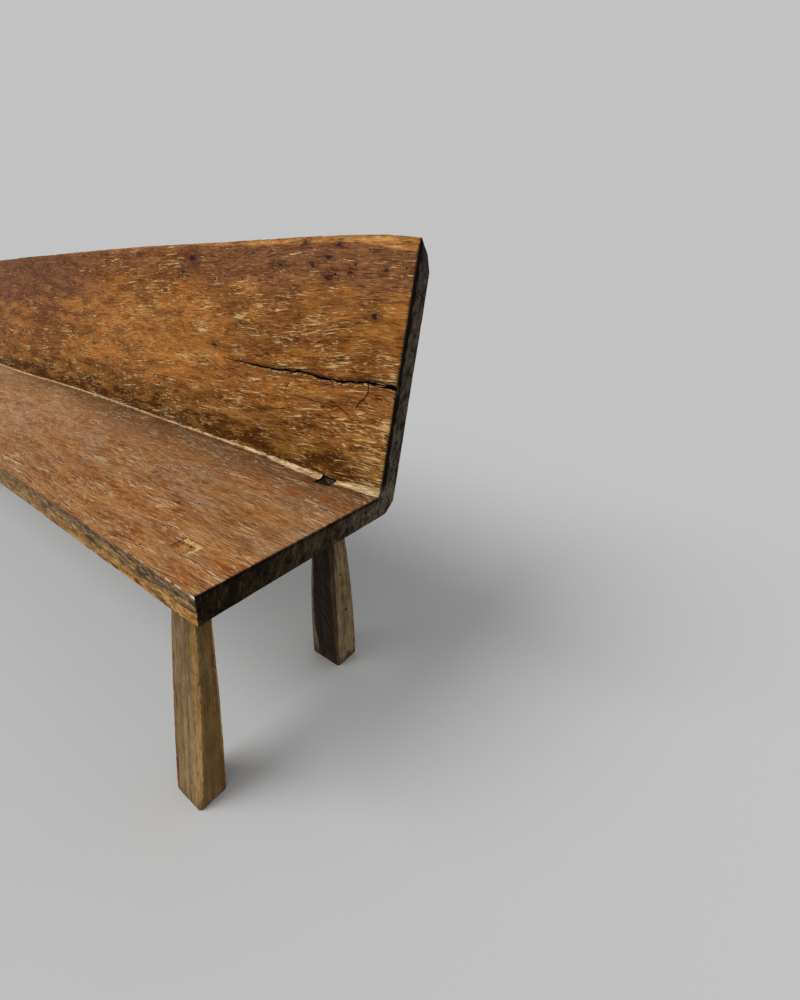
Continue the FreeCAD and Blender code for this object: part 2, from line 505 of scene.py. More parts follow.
def arrisPoints(mesh, angle):
    # corners that lie on a sharp edge of the mesh
    bm = bmesh.new()
    bm.from_mesh(mesh)
    bmesh.ops.recalc_face_normals(bm, faces=bm.faces)
    bm.to_mesh(mesh)
    found = {v.index for e in bm.edges if len(e.link_faces) == 2 and abs(e.calc_face_angle(0)) > angle
             for v in e.verts}
    bm.free()
    return found


def wornBy(position, wear, chip, seed):
    # radius that use has worn an arris to at a point, with a bite here and there
    even = 0.55 + 0.75 * noise.noise(position * 28 + Vector((seed, 0, 0)))
    bite = max(0.0, noise.noise(position * 75 + Vector((0, seed, 5))) - 0.33) * 2.6
    return wear * max(0.25, even + 0.3) + chip * bite


def roughen(mesh, wear, chip, seed, depthAt, angle=radians(24), wearAt=lambda co: 1.0):
    # wears the arrises of a mesh and presses depthAt(point, normal, kind) into its faces
    sharp = arrisPoints(mesh, angle)
    tree = KDTree(len(sharp))
    for index in sharp:
        tree.insert(mesh.vertices[index].co, index)
    tree.balance()
    normals = [n.vector.copy() for n in mesh.vertex_normals]
    kinds = {}
    for polygon in mesh.polygons:
        for index in polygon.vertices:
            kinds.setdefault(index, polygon.material_index)
    moved = []
    for vertex in mesh.vertices:
        co, normal = vertex.co.copy(), normals[vertex.index]
        place, _, gap = tree.find(co)
        radius = wornBy(place, wear, chip, seed) * wearAt(co)
        away = max(0.0, radius - gap) ** 2 / (2 * radius)
        if gap == 0:
            away *= 1.41
        depth = away + depthAt(co, normal, kinds[vertex.index]) * min(1.0, 0.35 + gap / (6 * mm))
        moved.append(co - normal * depth)
    for vertex, co in zip(mesh.vertices, moved):
        vertex.co = co


def trunkRelief(co, normal, kind):
    if kind == roughKind:
        cell = noise.voronoi(Vector((co.x * 11, co.y * 21, co.z * 21)))[0][0]
        return trunk["roughScoop"] * (1 - min(1.0, cell)) + trunk["tooth"] * (1 + noise.noise(co * 60))
    if kind == endKind:
        return trunk["tooth"] * (1 + noise.noise(Vector((co.y * 160, co.z * 22, co.x))))
    broad = 1 + noise.noise(Vector((co.x * 5.5, co.y * 17, co.z * 17)))
    small = 1 + noise.noise(Vector((co.x * 22, co.y * 75, co.z * 75)))
    depth = trunk["scoop"] * 0.6 * broad + trunk["furrow"] * small
    above = co.z - seatTop
    if kind == faceKind and above > 60 * mm and abs(above - crackHeight(co.x)) < 12 * mm:
        off = (above - crackHeight(co.x)) / crack["halfWidth"]
        depth += crackDepth(co.x) / (1 + off * off) ** 1.5
        lip = max(0.0, 1 - abs(off + 3.5) / 2.5) * min(1.0, crackDepth(co.x) * 300)
        depth -= crack["lip"] * lip * (0.5 + noise.noise(Vector((co.x * 90, 0, 4))))
    return depth


print("hewing the trunk")
trunkMesh = buildTrunk()
print("trunk:", len(trunkMesh.polygons), "faces")
roughen(trunkMesh, trunk["arrisWear"], trunk["chip"], trunk["seed"], trunkRelief,
        wearAt=lambda co: trunk["crestWear"] if co.z > seatTop + 0.2 else 1.0)


# Cutters: mortises for the legs, and worm holes

mortise = {
    "readAt": (395 * mm, 420 * mm),     # heights at which the tenons' sides are measured
    "past": 12 * mm,                    # how far the cutter reaches under the seat
    "above": {"front": 11 * mm, "back": 5 * mm},
    "clearance": 0.25 * mm,
}

worms = {
    # the large ones: metres from the right end and behind the front edge, or above the seat
    "seatHoles": ((0.239, 0.122), (0.211, 0.140), (0.160, 0.020)),
    "backHoles": ((0.481, 0.332), (0.369, 0.325), (0.514, 0.325), (0.119, 0.355), (0.164, 0.340),
                  (0.245, 0.272), (0.382, 0.256), (0.017, 0.351), (0.635, 0.361), (0.739, 0.334),
                  (1.124, 0.155), (0.927, 0.140)),
    "largeRadius": (1.7 * mm, 2.5 * mm),
    "seed": 11, "seat": 22, "back": 48,         # how many small ones
    "alongHalf": 1.0, "seatAcross": (-0.19, 0.08),
    "backHighest": 0.375, "backReach": 0.34, "backCrowd": 1.6,   # thicker towards the crest
    "lean": 0.5,
    "radius": (0.7 * mm, 1.5 * mm),
    "depth": 7 * mm,
    "sides": 8,
}

places = ("front_right", "front_left", "back_right", "back_left")
wedges = {
    "front_right": ("long_wedge", "side_wedge"), "front_left": ("long_wedge", "side_wedge"),
    "back_right": ("corner_wedge",), "back_left": ("corner_wedge",),
}


def tenonSides(tree, middle, z):
    # left, right, front and back of a tenon with its wedges, at one height
    found = []
    for axis, sign in ((0, -1), (0, 1), (1, -1), (1, 1)):
        start = Vector((middle.x, middle.y, z))
        start[axis] += sign * 120 * mm
        towards = Vector((0, 0, 0))
        towards[axis] = -sign
        hit = tree.ray_cast(start, towards)[0]
        found.append(hit[axis] + sign * mortise["clearance"])
    return found


def prism(points, faces, lower, upper, sides):
    # adds a closed solid between two outlines to the lists
    first = len(points)
    points += [tuple(p) for p in lower] + [tuple(p) for p in upper]
    faces.append(tuple(first + i for i in range(sides))[::-1])
    faces.append(tuple(first + sides + i for i in range(sides)))
    for i in range(sides):
        j = (i + 1) % sides
        faces.append((first + i, first + j, first + sides + j, first + sides + i))


def cutterMesh():
    # mortises first, then worm holes
    points, faces = [], []
    low, high = mortise["readAt"]
    for place in places:
        tree = treeOf(place + "_leg", *[place + "_" + w for w in wedges[place]])
        tops = [v.co for v in nodes[place + "_leg"].data.vertices if v.co.z > seatTop - 6 * mm]
        middle = sum(tops, Vector()) / len(tops)
        sides = [np.array(tenonSides(tree, middle, z)) for z in (low, high)]
        outline = {}
        for z in (underside - mortise["past"], seatTop + mortise["above"][place.split("_")[0]]):
            left, right, front, back = sides[0] + (sides[1] - sides[0]) * (z - low) / (high - low)
            outline[z] = [(left, front, z), (right, front, z), (right, back, z), (left, back, z)]
        prism(points, faces, *outline.values(), 4)
    mortiseFaces = len(faces)
    random = np.random.default_rng(worms["seed"])
    large, small = worms["largeRadius"], worms["radius"]
    seatHoles = [(halfLength - x, frontEdge + y, large) for x, y in worms["seatHoles"]]
    half, count = worms["alongHalf"], worms["seat"]
    seatHoles += [(x, y, small) for x, y in zip(random.uniform(-half, half, count),
                                                random.uniform(*worms["seatAcross"], count))]
    backHoles = [(halfLength - x, seatTop + z, large) for x, z in worms["backHoles"]]
    count = worms["back"]
    along, down = random.uniform(-half, half, count), random.uniform(0, 1, count) ** worms["backCrowd"]
    heights = worms["backHighest"] - worms["backReach"] * down
    backHoles += [(x, seatTop + z, small) for x, z in zip(along, heights)]
    aims = [(Vector((x, y, 1.0)), Vector((0, 0, -1)), size) for x, y, size in seatHoles]
    aims += [(Vector((x, -0.5, z)), Vector((0, 1, 0)), size) for x, z, size in backHoles]
    for start, towards, size in aims:
        hit, normal = trunkTree.ray_cast(start, towards)[:2]
        if hit is None:
            continue
        lean = random.uniform(-worms["lean"], worms["lean"], 3)
        axis = (normal + Vector(lean)).normalized()
        across = axis.orthogonal().normalized()
        up = axis.cross(across)
        radius = random.uniform(*size)
        turns = [2 * pi * s / worms["sides"] for s in range(worms["sides"])]
        ringAt = [across * cos(turn) * radius + up * sin(turn) * radius for turn in turns]
        prism(points, faces, [hit - axis * worms["depth"] + r * 0.7 for r in ringAt],
              [hit + axis * 4 * mm + r for r in ringAt], worms["sides"])
    mesh = bpy.data.meshes.new("cutters")
    mesh.from_pydata(points, [], faces)
    kinds = [mortiseKind] * mortiseFaces + [wormKind] * (len(faces) - mortiseFaces)
    mesh.polygons.foreach_set("material_index", kinds)
    return mesh


def placed(mesh, name):
    thing = bpy.data.objects.new(name, mesh)
    scene.collection.objects.link(thing)
    return thing


def plainMesh(thing, name):
    # the evaluated mesh of an object, with its modifiers worked in and removed
    graph = bpy.context.evaluated_depsgraph_get()
    mesh = bpy.data.meshes.new_from_object(thing.evaluated_get(graph), preserve_all_data_layers=True,
                                           depsgraph=graph)
    mesh.name = name
    thing.modifiers.clear()
    return mesh


def shadeWood(mesh, angle=38):
    mesh.polygons.foreach_set("use_smooth", [True] * len(mesh.polygons))
    mesh.set_sharp_from_angle(angle=radians(angle))


# Woods

def frayed(vector):
    # the same place moved a little, so that marks along the grain curve and have torn rims
    fray = cloud(vector, (240, 900, 1), 1, 0.5)
    curve = cloud(vector, (30, 55, 1), 1, 0.5)
    return vectorMath("ADD", vector, joined(swing(fray, 0.003), swing(fray, 0.0004) + swing(curve, 0.0018)))


def strokes(vector, scale, slant, level, offset=(0.0, 0.0, 0.0), soft=0.02):
    # torn strokes along the grain: where a stretched noise rises above a level
    along, across, _ = axes(vector)
    value = cloud(joined(along, along * slant + across), scale, 1, 0.5, 0.0, offset)
    return ease(value - level, -soft, soft)


def laid(colour, coats):
    # each coat is (how much, tone), laid over the ones before
    for share, coat in coats:
        colour = mixed(share, colour, coat)
    return colour


def zoned(tones, zones):
    # dark and pale tone at a point: each zone is (how much, (dark, pale)) laid over the ones before
    for share, pair in zones:
        tones = [mixed(share, under, over) for under, over in zip(tones, pair)]
    return tones


def spots(point, marks, radius, fray):
    # rounded marks at the places listed, as (x, y, size), with a frayed rim
    found = []
    for x, y, size in marks:
        away = vectorMath("DISTANCE", point, (x, y, 0.0), "Value")
        found.append(ease(away + fray, radius * size * 1.25, radius * size * 0.75))
    return most(*found)


def lineMark(point, line, width, fray):
    # a thin line through the places listed
    found = []
    for (x, y), (x2, y2) in zip(line, line[1:]):
        run = Vector((x2 - x, y2 - y, 0))
        offset = vectorMath("SUBTRACT", point, (x, y, 0.0))
        along = vectorMath("DOT_PRODUCT", offset, run / run.length_squared, "Value")
        held = least(most(along, 0.0), 1.0)
        foot = worked("ShaderNodeVectorMath", {0: run, "Scale": held}, operation="SCALE")
        found.append(vectorMath("DISTANCE", offset, foot, "Value"))
    return ease(least(*found) + fray, width, width * 0.45)


# the walls inside the worm holes and the mortises are painted near black: painted shade in the holes
holeWoodAndShade = {"worm": ((10, 6, 4), (30, 20, 14)), "mortise": ((14, 10, 7), (58, 44, 28))}


def makeHoleWood(name):
    material, tree, shader = newMaterial(name + "Dark")
    where = given(tree, "ShaderNodeTexCoord", "Object")
    grain = ease(cloud(where, (260, 260, 90), 3, 0.65), 0.4, 0.6)
    colour = mixed(grain, *holeWoodAndShade[name])
    finishSurface(shader, colour, 0.9, grain, 0.4 * mm, 0.05)
    return material


faceWood = {
    # each part of the face as its dark and its pale tone
    "seat": ((122, 62, 16), (190, 144, 94)),
    "seatOrange": ((132, 62, 8), (200, 136, 74)),
    "seatHaze": ((70, 32, 4), (146, 110, 76)),
    "seatGrey": ((108, 70, 42), (178, 146, 114)),
    # seatPale: the seat's paler tone towards its left end is a painted sheen
    "seatPale": ((144, 96, 54), (220, 174, 130)),
    "back": ((84, 36, 0), (172, 112, 56)),
    "backGold": ((122, 62, 6), (198, 134, 66)),
    "backGlow": ((146, 80, 22), (214, 148, 80)),
    "backDark": ((64, 30, 4), (134, 82, 40)),
    "backTop": ((100, 54, 26), (172, 122, 80)),
    "backPurple": ((86, 46, 26), (142, 94, 62)),
    "backLow": ((62, 30, 0), (156, 108, 46)),
    # crest: the bevel's orange tone, painted lighter as a painted highlight
    "crest": ((122, 72, 26), (222, 160, 90)),
    "corner": ((158, 120, 72), (246, 218, 170)),
    "seatStroke": (232, 202, 164), "backStroke": (230, 192, 132),
    "dark": (36, 16, 4), "black": (10, 6, 4), "knot": (40, 20, 26),
}

# dark knots and scars on the back: metres from the right end, height above the seat, size
knots = ((0.306, 0.355, 1.0), (0.330, 0.356, 0.8), (0.222, 0.356, 1.0), (0.183, 0.365, 0.9),
         (0.178, 0.335, 1.5), (0.129, 0.344, 0.9), (0.066, 0.282, 1.2), (0.248, 0.389, 1.1),
         (0.161, 0.386, 0.8), (0.054, 0.347, 0.8), (0.602, 0.364, 2.2), (0.640, 0.338, 1.3),
         (0.505, 0.196, 1.4))

# marks on the seat, as lines through places: metres from the right end, metres behind the front edge
seatScratches = (((0.242, 0.299), (0.151, 0.294)), ((0.143, 0.349), (0.071, 0.349)))
seatDashes = (((0.256, 0.340), (0.240, 0.341)), ((0.226, 0.338), (0.212, 0.341)),
              ((0.196, 0.340), (0.178, 0.338)))


def makeFaceWood():
    c = faceWood
    material, tree, shader = newMaterial("wornFaceWood")

    flat = given(tree, "ShaderNodeUVMap", uv_map="grain")
    u, v, _ = axes(flat)
    joint, crest, _ = axes(given(tree, "ShaderNodeUVMap", uv_map="zones"))
    split = axes(given(tree, "ShaderNodeUVMap", uv_map="splits"))[1]
    body = axes(given(tree, "ShaderNodeTexCoord", "Object"))
    fromRight = halfLength - u
    above = body[2] - seatTop
    onBack = ease(joint, 0.0, 0.003)

    # the grain wanders a little along the trunk
    sway = swing(cloud(flat, (2.2, 7, 1), 2), 0.025)
    curl = swing(cloud(flat, (12, 22, 1), 1), 0.0025)
    flow = joined(u, v + sway + curl)
    ragged = swing(cloud(flat, (60, 120, 1), 4, 0.65), 0.008)
    torn = frayed(flow)

    broad = cloud(flow, (1.7, 6.5, 1), 3, 0.6)
    patchA = ease(cloud(flow, (4.2, 12, 1), 4, 0.65, 0.4, offset=(3, 9, 0)), 0.47, 0.56)
    patchB = ease(cloud(flow, (5, 16, 1), 4, 0.6, 0.3, offset=(8, 1, 0)), 0.48, 0.62)
    coarse = ease(cloud(flow, (9, 44, 1), 4, 0.62, 0.2), 0.36, 0.64)
    middle = ease(cloud(torn, (22, 170, 1), 4, 0.66), 0.37, 0.63)
    fibre = ease(cloud(torn, (46, 330, 1), 3, 0.7), 0.4, 0.6)
    uneven = swing(coarse, 0.03)

    seatZones = [
        (patchA * 0.55, c["seatOrange"]),
        (patchB * between(joint, -0.3, -0.05, 0.05) * 0.6, c["seatGrey"]),
        # paler towards the left end: a painted sheen on the seat, laid in as colour
        (ease(fromRight, 0.45, 1.3) * ease(broad, 0.35, 0.6) * 0.85, c["seatPale"]),
        (ease(joint + uneven, -0.13, -0.025) * ease(fromRight, 1.9, 0.8) * 0.9, c["seatHaze"]),
    ]
    top = ease(crest + uneven, 0.105, 0.04) * between(fromRight, -0.1, 0.52, 0.06)
    backZones = [
        (between(fromRight, 0.45, 1.25, 0.16) * ease(above, 0.06, 0.13) * ease(above, 0.34, 0.24)
         * (patchA * 0.3 + 0.7), c["backGlow"]),
        (patchA * 0.75, c["backGold"]),
        (patchB * 0.55, c["backDark"]),
        (ease(joint + uneven, 0.13, 0.03) * 0.8, c["backLow"]),
        (top * 0.85, c["backTop"]),
        (ease(crest + uneven + uneven, 0.19, 0.07) * ease(fromRight, 0.95, 1.3) * 0.95, c["backPurple"]),
        (ease(crest, 0.07, 0.02) * ease(patchB, 0.9, 0.2) * 0.6, c["backPurple"]),
    ]
    seatDark, seatPale = zoned(c["seat"], seatZones)
    backDark, backPale = zoned(c["back"], backZones)

    # the bevel along the crest is golden, its orange tone painted lighter as a painted highlight where the
    # bevel faces the light: wide at the right end, a thin line from the middle on
    reach = ease(fromRight, 0.6, 0.32) * 0.008 - 0.008 + ease(fromRight, 0.13, 0.02) * 0.009
    edge = crest + ragged * 0.35 - reach
    gold = ease(edge, 0.0015, -0.0015) * (ease(fromRight, 1.3, 0.3) * 0.85 + 0.1)
    darkTone = mixed(onBack, seatDark, backDark)
    paleTone = mixed(onBack, seatPale, backPale)
    darkTone, paleTone = zoned((darkTone, paleTone), [(gold, c["crest"])])
    level = fibre * 0.36 + middle * 0.26 + coarse * 0.38
    colour = mixed(level, darkTone, paleTone)

    # pale torn strokes in herds, and dark ones between them
    herd = ease(cloud(flat, (10, 26, 1), 4, 0.65, 0.5, offset=(1, 5, 0)), 0.46, 0.6)
    corner = ease(fromRight, 0.11, 0.05) * ease(above + uneven, 0.15, 0.11) * onBack
    upLeft = ease(fromRight, 0.85, 1.2) * ease(above, 0.16, 0.26)
    quiet = 1.0 - most(top * 0.6, gold * 0.9, upLeft * 0.9)
    wild = most(herd, corner) * quiet
    pale = most(strokes(torn, (38, 400, 1), 0.04, wild * -0.085 + 0.7),
                strokes(torn, (15, 240, 1), -0.06, wild * -0.105 + 0.715, (4, 2, 0)),
                strokes(torn, (60, 520, 1), 0.1, wild * -0.08 + 0.705, (7, 5, 0)))
    deep = most(strokes(torn, (34, 360, 1), 0.02, wild * -0.04 + 0.66, (2, 8, 0)),
                strokes(torn, (16, 260, 1), -0.06, 0.69, (6, 1, 0)))
    colour = mixed(deep * (onBack * 0.15 + 0.45), colour, c["dark"])
    strokeTone = mixed(onBack, c["seatStroke"], c["backStroke"])
    colour = mixed(pale * (fibre * 0.3 + 0.5) * (onBack * 0.26 + 0.74), colour, strokeTone)

    # old scars: dark knots on the back with a soft bloom round them
    scarPoint = joined(fromRight * 0.6, above)
    scars = [(x * 0.6, z, size) for x, z, size in knots]
    blur = swing(cloud(flat, (110, 190, 1), 3, 0.7), 0.011)
    scar = spots(scarPoint, scars, 0.0034, blur)
    bloom = spots(scarPoint, scars, 0.01, blur * 1.6)
    colour = laid(colour, [
        (bloom * onBack * 0.35, c["knot"]),
        (scar * onBack * (fibre * -0.3 + 0.95), c["knot"]),
    ])

    # marks left on the seat
    seatPoint = joined(fromRight, body[1] - frontEdge)
    onSeat = 1.0 - onBack
    marks = [(line, 0.0016, 0.75) for line in seatScratches] + [(line, 0.0030, 0.85) for line in seatDashes]
    for line, width, much in marks:
        mark = lineMark(seatPoint, line, width, ragged * 0.14)
        colour = mixed(mark * onSeat * much, colour, c["dark"])

    # inner corner: thin splintered strip, a dark band of painted shade behind it and dark dashes before it
    strip = joint + ragged * 0.5
    wideSeat = between(fromRight, 0.1, 0.26, 0.05) * 0.008 + 0.002
    wideBack = ease(fromRight, 0.11, 0.0) * 0.009 + ease(fromRight, 0.7, 0.15) * 0.0022 + 0.0012
    front = strip + wideSeat
    rear = strip - wideBack
    # behind: painted shade on the back just above the inner corner
    behind = ease(rear, 0.0, 0.003) * ease(rear + uneven, 0.048, 0.008) * ease(fromRight, 0.02, 0.12)
    before = ease(front, 0.0, -0.002) * ease(front, -0.024, -0.004) * ease(middle, 0.3, 0.7)
    colour = laid(colour, [
        (behind * (pale * -0.5 + 0.72), c["backDark"][0]),
        (before * 0.6, c["seatHaze"][0]),
    ])
    lip = ease(front, -0.001, 0.0008) * ease(rear, 0.0012, -0.0006)
    splintered = 0.54 + fibre * 0.3 + ease(fromRight, 0.9, 0.2) * 0.16
    colour = mixed(lip * splintered, colour, mixed(middle * 0.5 + fibre * 0.5, *c["corner"]))

    # the drying split, its torn rim with pale slivers, and the hairlines below it
    begun = ease(fromRight, crack["reach"] + 0.01, crack["reach"] - 0.22)
    started = ease(fromRight, crack["reach"] + 0.004, crack["reach"] - 0.006)
    finely = cloud(flat, (120, 260, 1), 3, 0.7)
    jag = split + ragged * 0.2 + swing(finely, 0.0025)
    wide = (0.0003 + begun * (coarse * 0.0018 + 0.0006) + ease(fromRight, 0.08, 0.0) * 0.0016) * started
    inside = ease(abs(jag) - wide, 0.0007, -0.0003) * started
    second = (ease(abs(jag - 0.0042), 0.0011, 0.0002) * between(fromRight, 0.02, 0.28, 0.02)
              * ease(finely, 0.42, 0.5))
    sliver = between(jag, -0.0055, -0.0012, 0.0008) * begun * ease(fibre, 0.35, 0.75)
    beside = ease(abs(split + ragged), 0.014, 0.002) * begun
    nearSplit = joined(fromRight, split)
    hair = most(lineMark(nearSplit, crack["hairline"], 0.0012, ragged * 0.14),
                lineMark(nearSplit, crack["branch"], 0.002, ragged * 0.18))
    colour = laid(colour, [
        (beside * 0.45, c["dark"]),
        (sliver * ease(finely, 0.44, 0.54) * 0.8, c["backStroke"]),
        (hair * 0.85, c["dark"]),
        (most(inside, second * 0.85), c["black"]),
    ])

    # end of the back and of the seat: the last millimetres are darker
    last = ease(fromRight + ragged * 0.6 + swing(finely, 0.003), 0.0055, 0.0005)
    colour = mixed(last * 0.8, colour, c["dark"])

    height = fibre * 0.5 + middle * 0.6 + coarse * 0.4 + pale * 0.7
    height = height - (deep * 0.5 + hair * 0.5 + inside)
    rough = 0.5 + pale * 0.2 + fibre * 0.12
    finishSurface(shader, colour, rough, height, 1.0 * mm, 0.03)
    return material


endWood = {
    # dark and pale tone of each part of the sawn end
    "front": ((12, 8, 4), (54, 38, 22)), "middle": ((22, 14, 8), (92, 76, 54)),
    "rear": ((46, 38, 28), (132, 122, 102)), "back": ((44, 36, 28), (110, 98, 82)),
    "top": ((38, 30, 26), (96, 82, 72)),
    "black": (12, 7, 5), "wisp": (136, 122, 92),
}


def makeEndWood():
    c = endWood
    material, tree, shader = newMaterial("weatheredEndGrain")
    where = given(tree, "ShaderNodeTexCoord", "Object")
    _, y, z = axes(where)
    up = z - seatTop
    # distance behind the sloping front of the back
    behind = up * -endSlope + y - (frontEdge + endDepth)
    straight = joined(0.0, behind, z)
    streaks = ease(cloud(straight, (1, 150, 46), 4, 0.72, 1.2), 0.4, 0.62)
    broad = ease(cloud(straight, (1, 44, 26), 4, 0.66, 1.0), 0.4, 0.6)
    blots = ease(cloud(straight, (1, 90, 60), 4, 0.7, 0.8, (0, 3, 7)), 0.52, 0.6)
    wisps = ease(cloud(straight, (1, 320, 60), 3, 0.7, 2.0, (0, 8, 2)), 0.6, 0.66) * broad
    speck = cloud(where, (400, 360, 360), 3, 0.7)
    zones = [
        (ease(y, frontEdge + 0.05, frontEdge + 0.2), c["middle"]),
        (ease(y, frontEdge + 0.22, frontEdge + 0.36), c["rear"]),
        (ease(up, -0.005, 0.03), c["back"]),
        (ease(up, 0.24, 0.36), c["top"]),
    ]
    dark, pale = zoned(c["front"], zones)
    level = streaks * 0.35 + broad * 0.4 + ease(speck, 0.4, 0.6) * 0.25
    colour = mixed(level, dark, pale)
    colour = laid(colour, [
        (wisps * 0.5, c["wisp"]),
        (blots * 0.75, c["black"]),
        (ease(speck, 0.4, 0.32) * 0.5, c["black"]),
    ])
    burnt = between(up, -0.006, 0.0, 0.0022) * (broad * -0.4 + 0.9) * ease(behind, 0.004, -0.006)
    colour = mixed(burnt, colour, c["black"])
    scratch = ease(cloud(straight, (1, 520, 18), 2, 0.5, 0.6, (0, 2, 9)), 0.64, 0.7) * ease(up, 0.0, -0.01)
    colour = mixed(scratch * 0.25, colour, c["wisp"])
    limit = behind + swing(broad, 0.002)
    crackEnd = crack["path"][-1][1]
    bridge = between(up, crackEnd - 0.009, crackEnd + 0.004, 0.003)
    band = (ease(limit, 0.0135, 0.01) * ease(up, 0.01, 0.022) * ease(limit, -0.002, 0.001)
            * (1.0 - bridge * 0.75))
    colour = mixed(band * 0.95, colour, c["black"])
    height = streaks + speck * 0.5 + band * -0.6 + blots * -0.6
    finishSurface(shader, colour, 0.85, height, 1.4 * mm, 0.06)
    return material


edgeWood = {
    "plain": ((112, 82, 48), (182, 148, 106)), "grey": ((80, 64, 44), (152, 128, 98)),
    "gold": ((130, 84, 34), (232, 174, 98)), "orange": ((154, 98, 52), (218, 154, 104)),
    "dark": (40, 30, 22), "chip": (248, 232, 204),
}


def makeEdgeWood():
    c = edgeWood
    material, tree, shader = newMaterial("weatheredFrontEdge")
    where = given(tree, "ShaderNodeTexCoord", "Object")
    x, _, z = axes(where)
    down = seatTop - z
    fromRight = halfLength - x
    # streaks run down a little towards the right end, as the hewing left them
    slanted = joined(x, x * 0.07 + z)
    torn = frayed(slanted)
    streaks = ease(cloud(torn, (34, 150, 1), 4, 0.72, 0.8), 0.4, 0.6)
    blotch = ease(cloud(torn, (12, 44, 1), 4, 0.68, 0.8, (4, 4, 0)), 0.46, 0.56)
    hair = ease(cloud(torn, (70, 420, 1), 3, 0.7), 0.38, 0.62)
    stain = ease(cloud(torn, (20, 90, 1), 4, 0.7, 0.6, (9, 2, 0)), 0.52, 0.6)
    ragged = swing(streaks, 0.007)
    lower = ease(down + ragged, 0.024, 0.029)
    near = ease(fromRight, 0.6, 0.15)
    zones = [
        (blotch * 0.85, c["grey"]),
        (lower * (near * 0.6 + 0.25) * (blotch * -0.3 + 1.0), c["gold"]),
        (ease(down + ragged * 0.3, 0.006, 0.002) * 0.85, c["orange"]),
    ]
    dark, pale = zoned(c["plain"], zones)
    level = streaks * 0.55 + hair * 0.45
    colour = mixed(level, dark, pale)
    line = between(down + ragged * 0.7, 0.005, 0.012, 0.002) * ease(blotch, 0.9, 0.3) * (near * 0.35 + 0.4)
    colour = mixed(most(line, stain * (near * 0.55 + 0.15)), colour, c["dark"])
    pits = strokes(torn, (60, 190, 1), 0.1, 0.68, (2, 8, 0))
    colour = mixed(pits * 0.8, colour, c["dark"])
    corner = ease(down, 0.006, 0.003) * ease(fromRight, 0.014, 0.006)
    chips = (ease(down, 0.005, 0.001) * ease(cloud(where, (70, 70, 70), 2), 0.55, 0.6)
             * ease(fromRight, 0.25, 0.02))
    colour = mixed(most(chips, corner) * 0.9, colour, c["chip"])
    height = streaks + hair * 0.5 - pits
    finishSurface(shader, colour, 0.8, height, 1.1 * mm, 0.04)
    return material


roughWood = {
    "brown": ((58, 42, 28), (118, 92, 64)), "grey": ((74, 66, 54), (138, 124, 102)), "dark": (34, 25, 18),
}


def makeRoughWood():
    c = roughWood
    material, tree, shader = newMaterial("rearHewnWood")
    flat = given(tree, "ShaderNodeUVMap", uv_map="grain")
    broad = ease(cloud(flat, (4, 14, 1), 4, 0.62), 0.42, 0.6)
    streaks = ease(cloud(flat, (20, 240, 1), 5, 0.72, 0.3), 0.34, 0.66)
    hair = ease(cloud(flat, (80, 700, 1), 3, 0.7), 0.3, 0.7)
    checks = ease(cloud(flat, (7, 130, 1), 2, 0.5, offset=(3, 3, 0)), 0.66, 0.7)
    dark, pale = zoned(c["brown"], [(broad * 0.85, c["grey"])])
    colour = mixed(streaks * 0.6 + hair * 0.4, dark, pale)
    colour = mixed(checks * 0.85, colour, c["dark"])
    height = streaks + hair * 0.4 - checks
    finishSurface(shader, colour, 0.85, height, 1.6 * mm, 0.08)
    return material


legWoods = {
    # inner and outer are strips of the front face, towards the bench's middle and its end
    "front": {
        "face": ((98, 72, 38), (158, 134, 100)), "side": ((86, 60, 26), (138, 112, 72)),
        "inner": ((88, 56, 34), (142, 104, 72)), "outer": ((108, 80, 44), (172, 138, 90)),
        # top: the leg's tone darkened under the seat, painted shade
        "arris": ((136, 98, 50), (212, 172, 114)), "top": ((56, 38, 20), (102, 82, 54)),
        "foot": ((74, 52, 28), (140, 112, 74)), "dark": (48, 32, 18), "groove": 0.7, "hatch": 0.0,
        "faceHoles": (), "sideHoles": (),
    },
    # the back legs' front face and its outer strip are painted near black: painted shade of the seat over the
    # wood's tone
    "back": {
        "face": ((14, 10, 10), (62, 52, 49)), "side": ((62, 50, 32), (164, 140, 104)),
        "inner": ((84, 72, 56), (156, 140, 114)), "outer": ((22, 14, 12), (60, 44, 38)),
        "arris": ((46, 32, 24), (100, 78, 60)), "top": ((22, 15, 12), (58, 46, 36)),
        "foot": ((26, 19, 12), (84, 66, 46)), "dark": (16, 11, 9), "groove": 0.2, "hatch": 0.55,
        # worm holes: across the leg, height, size
        "faceHoles": ((-0.013, 0.045, 1.0),),
        "sideHoles": ((0.003, 0.142, 1.0), (0.025, 0.040, 1.2), (-0.006, 0.235, 0.7)),
    },
}


